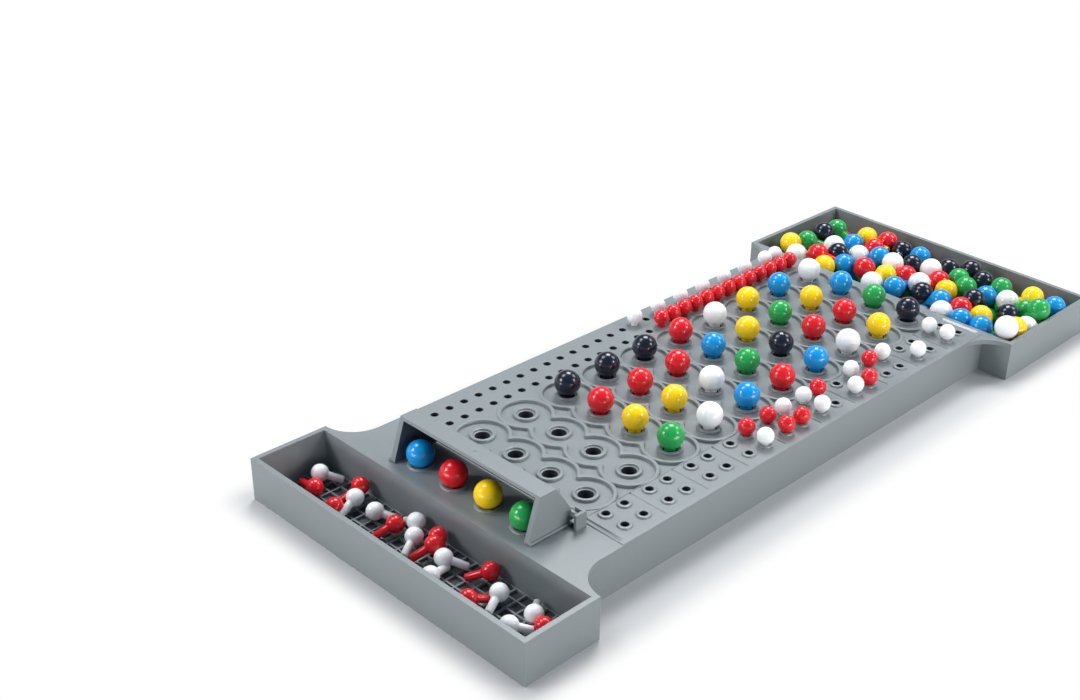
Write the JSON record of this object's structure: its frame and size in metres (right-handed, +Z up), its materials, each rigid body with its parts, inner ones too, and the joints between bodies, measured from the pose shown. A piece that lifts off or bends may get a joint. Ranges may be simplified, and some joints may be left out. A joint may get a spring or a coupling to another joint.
{
  "type": "code breaking peg game",
  "caption": "Code breaking peg game: grey board with peg hole grid, hinged code shield, key and score holes, peg trays, and ball headed pegs that lift out.",
  "frame": {"origin": "under the middle of the board, on the surface that the board rests on", "axes": "+Y along the board from the hidden code to the tray of spare code pegs, +X across it towards the key peg holes, +Z up"},
  "size_m": [0.139, 0.339, 0.0332],
  "materials": {
    "board_grey": "satin moulded plastic",
    "shield_grey": "satin moulded plastic",
    "peg_red": "polished moulded plastic",
    "peg_yellow": "polished moulded plastic",
    "peg_blue": "polished moulded plastic",
    "peg_green": "polished moulded plastic",
    "peg_black": "polished moulded plastic",
    "peg_white": "polished moulded plastic",
    "peg_mixed": "polished moulded plastic"
  },
  "bodies": {
    "board": {"game_board": "board_grey", "loose_key_pegs_inner": "peg_mixed", "loose_key_pegs_left": "peg_mixed", "loose_key_pegs_middle": "peg_mixed", "loose_key_pegs_right": "peg_mixed", "spare_code_pegs": "peg_mixed"},
    "shield": {"code_shield": "shield_grey"},
    "guess_peg_r10_c1": {"guess_peg_r10_c1": "peg_white"},
    "guess_peg_r10_c2": {"guess_peg_r10_c2": "peg_blue"},
    "guess_peg_r10_c3": {"guess_peg_r10_c3": "peg_green"},
    "guess_peg_r10_c4": {"guess_peg_r10_c4": "peg_black"},
    "guess_peg_r3_c1": {"guess_peg_r3_c1": "peg_black"},
    "guess_peg_r3_c2": {"guess_peg_r3_c2": "peg_red"},
    "guess_peg_r3_c3": {"guess_peg_r3_c3": "peg_yellow"},
    "guess_peg_r3_c4": {"guess_peg_r3_c4": "peg_green"},
    "guess_peg_r4_c1": {"guess_peg_r4_c1": "peg_black"},
    "guess_peg_r4_c2": {"guess_peg_r4_c2": "peg_red"},
    "guess_peg_r4_c3": {"guess_peg_r4_c3": "peg_yellow"},
    "guess_peg_r4_c4": {"guess_peg_r4_c4": "peg_white"},
    "guess_peg_r5_c1": {"guess_peg_r5_c1": "peg_black"},
    "guess_peg_r5_c2": {"guess_peg_r5_c2": "peg_red"},
    "guess_peg_r5_c3": {"guess_peg_r5_c3": "peg_white"},
    "guess_peg_r5_c4": {"guess_peg_r5_c4": "peg_blue"},
    "guess_peg_r6_c1": {"guess_peg_r6_c1": "peg_red"},
    "guess_peg_r6_c2": {"guess_peg_r6_c2": "peg_blue"},
    "guess_peg_r6_c3": {"guess_peg_r6_c3": "peg_green"},
    "guess_peg_r6_c4": {"guess_peg_r6_c4": "peg_red"},
    "guess_peg_r7_c1": {"guess_peg_r7_c1": "peg_white"},
    "guess_peg_r7_c2": {"guess_peg_r7_c2": "peg_yellow"},
    "guess_peg_r7_c3": {"guess_peg_r7_c3": "peg_black"},
    "guess_peg_r7_c4": {"guess_peg_r7_c4": "peg_blue"},
    "guess_peg_r8_c1": {"guess_peg_r8_c1": "peg_yellow"},
    "guess_peg_r8_c2": {"guess_peg_r8_c2": "peg_green"},
    "guess_peg_r8_c3": {"guess_peg_r8_c3": "peg_red"},
    "guess_peg_r8_c4": {"guess_peg_r8_c4": "peg_white"},
    "guess_peg_r9_c1": {"guess_peg_r9_c1": "peg_blue"},
    "guess_peg_r9_c2": {"guess_peg_r9_c2": "peg_yellow"},
    "guess_peg_r9_c3": {"guess_peg_r9_c3": "peg_red"},
    "guess_peg_r9_c4": {"guess_peg_r9_c4": "peg_yellow"},
    "key_peg_r10_n1": {"key_peg_r10_n1": "peg_white"},
    "key_peg_r10_n2": {"key_peg_r10_n2": "peg_white"},
    "key_peg_r4_n3": {"key_peg_r4_n3": "peg_red"},
    "key_peg_r4_n4": {"key_peg_r4_n4": "peg_white"},
    "key_peg_r5_n1": {"key_peg_r5_n1": "peg_red"},
    "key_peg_r5_n2": {"key_peg_r5_n2": "peg_red"},
    "key_peg_r5_n3": {"key_peg_r5_n3": "peg_white"},
    "key_peg_r5_n4": {"key_peg_r5_n4": "peg_red"},
    "key_peg_r6_n1": {"key_peg_r6_n1": "peg_white"},
    "key_peg_r6_n2": {"key_peg_r6_n2": "peg_white"},
    "key_peg_r6_n3": {"key_peg_r6_n3": "peg_red"},
    "key_peg_r7_n2": {"key_peg_r7_n2": "peg_white"},
    "key_peg_r7_n3": {"key_peg_r7_n3": "peg_white"},
    "key_peg_r7_n4": {"key_peg_r7_n4": "peg_red"},
    "key_peg_r8_n1": {"key_peg_r8_n1": "peg_red"},
    "key_peg_r8_n3": {"key_peg_r8_n3": "peg_white"},
    "key_peg_r9_n2": {"key_peg_r9_n2": "peg_white"},
    "secret_peg_1": {"secret_peg_1": "peg_blue"},
    "secret_peg_2": {"secret_peg_2": "peg_red"},
    "secret_peg_3": {"secret_peg_3": "peg_yellow"},
    "secret_peg_4": {"secret_peg_4": "peg_green"}
  },
  "joints": [
    {"name": "shield_hinge", "type": "hinge", "parent": "board", "child": "shield", "pos_m": [0, -0.11654, 0.0205], "axis": [-1, 0, 0], "range_deg": [0, 120]},
    {"name": "lift_guess_peg_r10_c1", "type": "slide", "parent": "board", "child": "guess_peg_r10_c1", "axis": [0, 0, 1], "range_m": [0, 0.0095]},
    {"name": "lift_guess_peg_r10_c2", "type": "slide", "parent": "board", "child": "guess_peg_r10_c2", "axis": [0, 0, 1], "range_m": [0, 0.0095]},
    {"name": "lift_guess_peg_r10_c3", "type": "slide", "parent": "board", "child": "guess_peg_r10_c3", "axis": [0, 0, 1], "range_m": [0, 0.0095]},
    {"name": "lift_guess_peg_r10_c4", "type": "slide", "parent": "board", "child": "guess_peg_r10_c4", "axis": [0, 0, 1], "range_m": [0, 0.0095]},
    {"name": "lift_guess_peg_r3_c1", "type": "slide", "parent": "board", "child": "guess_peg_r3_c1", "axis": [0, 0, 1], "range_m": [0, 0.0095]},
    {"name": "lift_guess_peg_r3_c2", "type": "slide", "parent": "board", "child": "guess_peg_r3_c2", "axis": [0, 0, 1], "range_m": [0, 0.0095]},
    {"name": "lift_guess_peg_r3_c3", "type": "slide", "parent": "board", "child": "guess_peg_r3_c3", "axis": [0, 0, 1], "range_m": [0, 0.0095]},
    {"name": "lift_guess_peg_r3_c4", "type": "slide", "parent": "board", "child": "guess_peg_r3_c4", "axis": [0, 0, 1], "range_m": [0, 0.0095]},
    {"name": "lift_guess_peg_r4_c1", "type": "slide", "parent": "board", "child": "guess_peg_r4_c1", "axis": [0, 0, 1], "range_m": [0, 0.0095]},
    {"name": "lift_guess_peg_r4_c2", "type": "slide", "parent": "board", "child": "guess_peg_r4_c2", "axis": [0, 0, 1], "range_m": [0, 0.0095]},
    {"name": "lift_guess_peg_r4_c3", "type": "slide", "parent": "board", "child": "guess_peg_r4_c3", "axis": [0, 0, 1], "range_m": [0, 0.0095]},
    {"name": "lift_guess_peg_r4_c4", "type": "slide", "parent": "board", "child": "guess_peg_r4_c4", "axis": [0, 0, 1], "range_m": [0, 0.0095]},
    {"name": "lift_guess_peg_r5_c1", "type": "slide", "parent": "board", "child": "guess_peg_r5_c1", "axis": [0, 0, 1], "range_m": [0, 0.0095]},
    {"name": "lift_guess_peg_r5_c2", "type": "slide", "parent": "board", "child": "guess_peg_r5_c2", "axis": [0, 0, 1], "range_m": [0, 0.0095]},
    {"name": "lift_guess_peg_r5_c3", "type": "slide", "parent": "board", "child": "guess_peg_r5_c3", "axis": [0, 0, 1], "range_m": [0, 0.0095]},
    {"name": "lift_guess_peg_r5_c4", "type": "slide", "parent": "board", "child": "guess_peg_r5_c4", "axis": [0, 0, 1], "range_m": [0, 0.0095]},
    {"name": "lift_guess_peg_r6_c1", "type": "slide", "parent": "board", "child": "guess_peg_r6_c1", "axis": [0, 0, 1], "range_m": [0, 0.0095]},
    {"name": "lift_guess_peg_r6_c2", "type": "slide", "parent": "board", "child": "guess_peg_r6_c2", "axis": [0, 0, 1], "range_m": [0, 0.0095]},
    {"name": "lift_guess_peg_r6_c3", "type": "slide", "parent": "board", "child": "guess_peg_r6_c3", "axis": [0, 0, 1], "range_m": [0, 0.0095]},
    {"name": "lift_guess_peg_r6_c4", "type": "slide", "parent": "board", "child": "guess_peg_r6_c4", "axis": [0, 0, 1], "range_m": [0, 0.0095]},
    {"name": "lift_guess_peg_r7_c1", "type": "slide", "parent": "board", "child": "guess_peg_r7_c1", "axis": [0, 0, 1], "range_m": [0, 0.0095]},
    {"name": "lift_guess_peg_r7_c2", "type": "slide", "parent": "board", "child": "guess_peg_r7_c2", "axis": [0, 0, 1], "range_m": [0, 0.0095]},
    {"name": "lift_guess_peg_r7_c3", "type": "slide", "parent": "board", "child": "guess_peg_r7_c3", "axis": [0, 0, 1], "range_m": [0, 0.0095]},
    {"name": "lift_guess_peg_r7_c4", "type": "slide", "parent": "board", "child": "guess_peg_r7_c4", "axis": [0, 0, 1], "range_m": [0, 0.0095]},
    {"name": "lift_guess_peg_r8_c1", "type": "slide", "parent": "board", "child": "guess_peg_r8_c1", "axis": [0, 0, 1], "range_m": [0, 0.0095]},
    {"name": "lift_guess_peg_r8_c2", "type": "slide", "parent": "board", "child": "guess_peg_r8_c2", "axis": [0, 0, 1], "range_m": [0, 0.0095]},
    {"name": "lift_guess_peg_r8_c3", "type": "slide", "parent": "board", "child": "guess_peg_r8_c3", "axis": [0, 0, 1], "range_m": [0, 0.0095]},
    {"name": "lift_guess_peg_r8_c4", "type": "slide", "parent": "board", "child": "guess_peg_r8_c4", "axis": [0, 0, 1], "range_m": [0, 0.0095]},
    {"name": "lift_guess_peg_r9_c1", "type": "slide", "parent": "board", "child": "guess_peg_r9_c1", "axis": [0, 0, 1], "range_m": [0, 0.0095]},
    {"name": "lift_guess_peg_r9_c2", "type": "slide", "parent": "board", "child": "guess_peg_r9_c2", "axis": [0, 0, 1], "range_m": [0, 0.0095]},
    {"name": "lift_guess_peg_r9_c3", "type": "slide", "parent": "board", "child": "guess_peg_r9_c3", "axis": [0, 0, 1], "range_m": [0, 0.0095]},
    {"name": "lift_guess_peg_r9_c4", "type": "slide", "parent": "board", "child": "guess_peg_r9_c4", "axis": [0, 0, 1], "range_m": [0, 0.0095]},
    {"name": "lift_key_peg_r10_n1", "type": "slide", "parent": "board", "child": "key_peg_r10_n1", "axis": [0, 0, 1], "range_m": [0, 0.0056]},
    {"name": "lift_key_peg_r10_n2", "type": "slide", "parent": "board", "child": "key_peg_r10_n2", "axis": [0, 0, 1], "range_m": [0, 0.0056]},
    {"name": "lift_key_peg_r4_n3", "type": "slide", "parent": "board", "child": "key_peg_r4_n3", "axis": [0, 0, 1], "range_m": [0, 0.0056]},
    {"name": "lift_key_peg_r4_n4", "type": "slide", "parent": "board", "child": "key_peg_r4_n4", "axis": [0, 0, 1], "range_m": [0, 0.0056]},
    {"name": "lift_key_peg_r5_n1", "type": "slide", "parent": "board", "child": "key_peg_r5_n1", "axis": [0, 0, 1], "range_m": [0, 0.0056]},
    {"name": "lift_key_peg_r5_n2", "type": "slide", "parent": "board", "child": "key_peg_r5_n2", "axis": [0, 0, 1], "range_m": [0, 0.0056]},
    {"name": "lift_key_peg_r5_n3", "type": "slide", "parent": "board", "child": "key_peg_r5_n3", "axis": [0, 0, 1], "range_m": [0, 0.0056]},
    {"name": "lift_key_peg_r5_n4", "type": "slide", "parent": "board", "child": "key_peg_r5_n4", "axis": [0, 0, 1], "range_m": [0, 0.0056]},
    {"name": "lift_key_peg_r6_n1", "type": "slide", "parent": "board", "child": "key_peg_r6_n1", "axis": [0, 0, 1], "range_m": [0, 0.0056]},
    {"name": "lift_key_peg_r6_n2", "type": "slide", "parent": "board", "child": "key_peg_r6_n2", "axis": [0, 0, 1], "range_m": [0, 0.0056]},
    {"name": "lift_key_peg_r6_n3", "type": "slide", "parent": "board", "child": "key_peg_r6_n3", "axis": [0, 0, 1], "range_m": [0, 0.0056]},
    {"name": "lift_key_peg_r7_n2", "type": "slide", "parent": "board", "child": "key_peg_r7_n2", "axis": [0, 0, 1], "range_m": [0, 0.0056]},
    {"name": "lift_key_peg_r7_n3", "type": "slide", "parent": "board", "child": "key_peg_r7_n3", "axis": [0, 0, 1], "range_m": [0, 0.0056]},
    {"name": "lift_key_peg_r7_n4", "type": "slide", "parent": "board", "child": "key_peg_r7_n4", "axis": [0, 0, 1], "range_m": [0, 0.0056]},
    {"name": "lift_key_peg_r8_n1", "type": "slide", "parent": "board", "child": "key_peg_r8_n1", "axis": [0, 0, 1], "range_m": [0, 0.0056]},
    {"name": "lift_key_peg_r8_n3", "type": "slide", "parent": "board", "child": "key_peg_r8_n3", "axis": [0, 0, 1], "range_m": [0, 0.0056]},
    {"name": "lift_key_peg_r9_n2", "type": "slide", "parent": "board", "child": "key_peg_r9_n2", "axis": [0, 0, 1], "range_m": [0, 0.0056]},
    {"name": "lift_secret_peg_1", "type": "slide", "parent": "board", "child": "secret_peg_1", "axis": [0, 0, 1], "range_m": [0, 0.005]},
    {"name": "lift_secret_peg_2", "type": "slide", "parent": "board", "child": "secret_peg_2", "axis": [0, 0, 1], "range_m": [0, 0.005]},
    {"name": "lift_secret_peg_3", "type": "slide", "parent": "board", "child": "secret_peg_3", "axis": [0, 0, 1], "range_m": [0, 0.005]},
    {"name": "lift_secret_peg_4", "type": "slide", "parent": "board", "child": "secret_peg_4", "axis": [0, 0, 1], "range_m": [0, 0.005]}
  ]
}
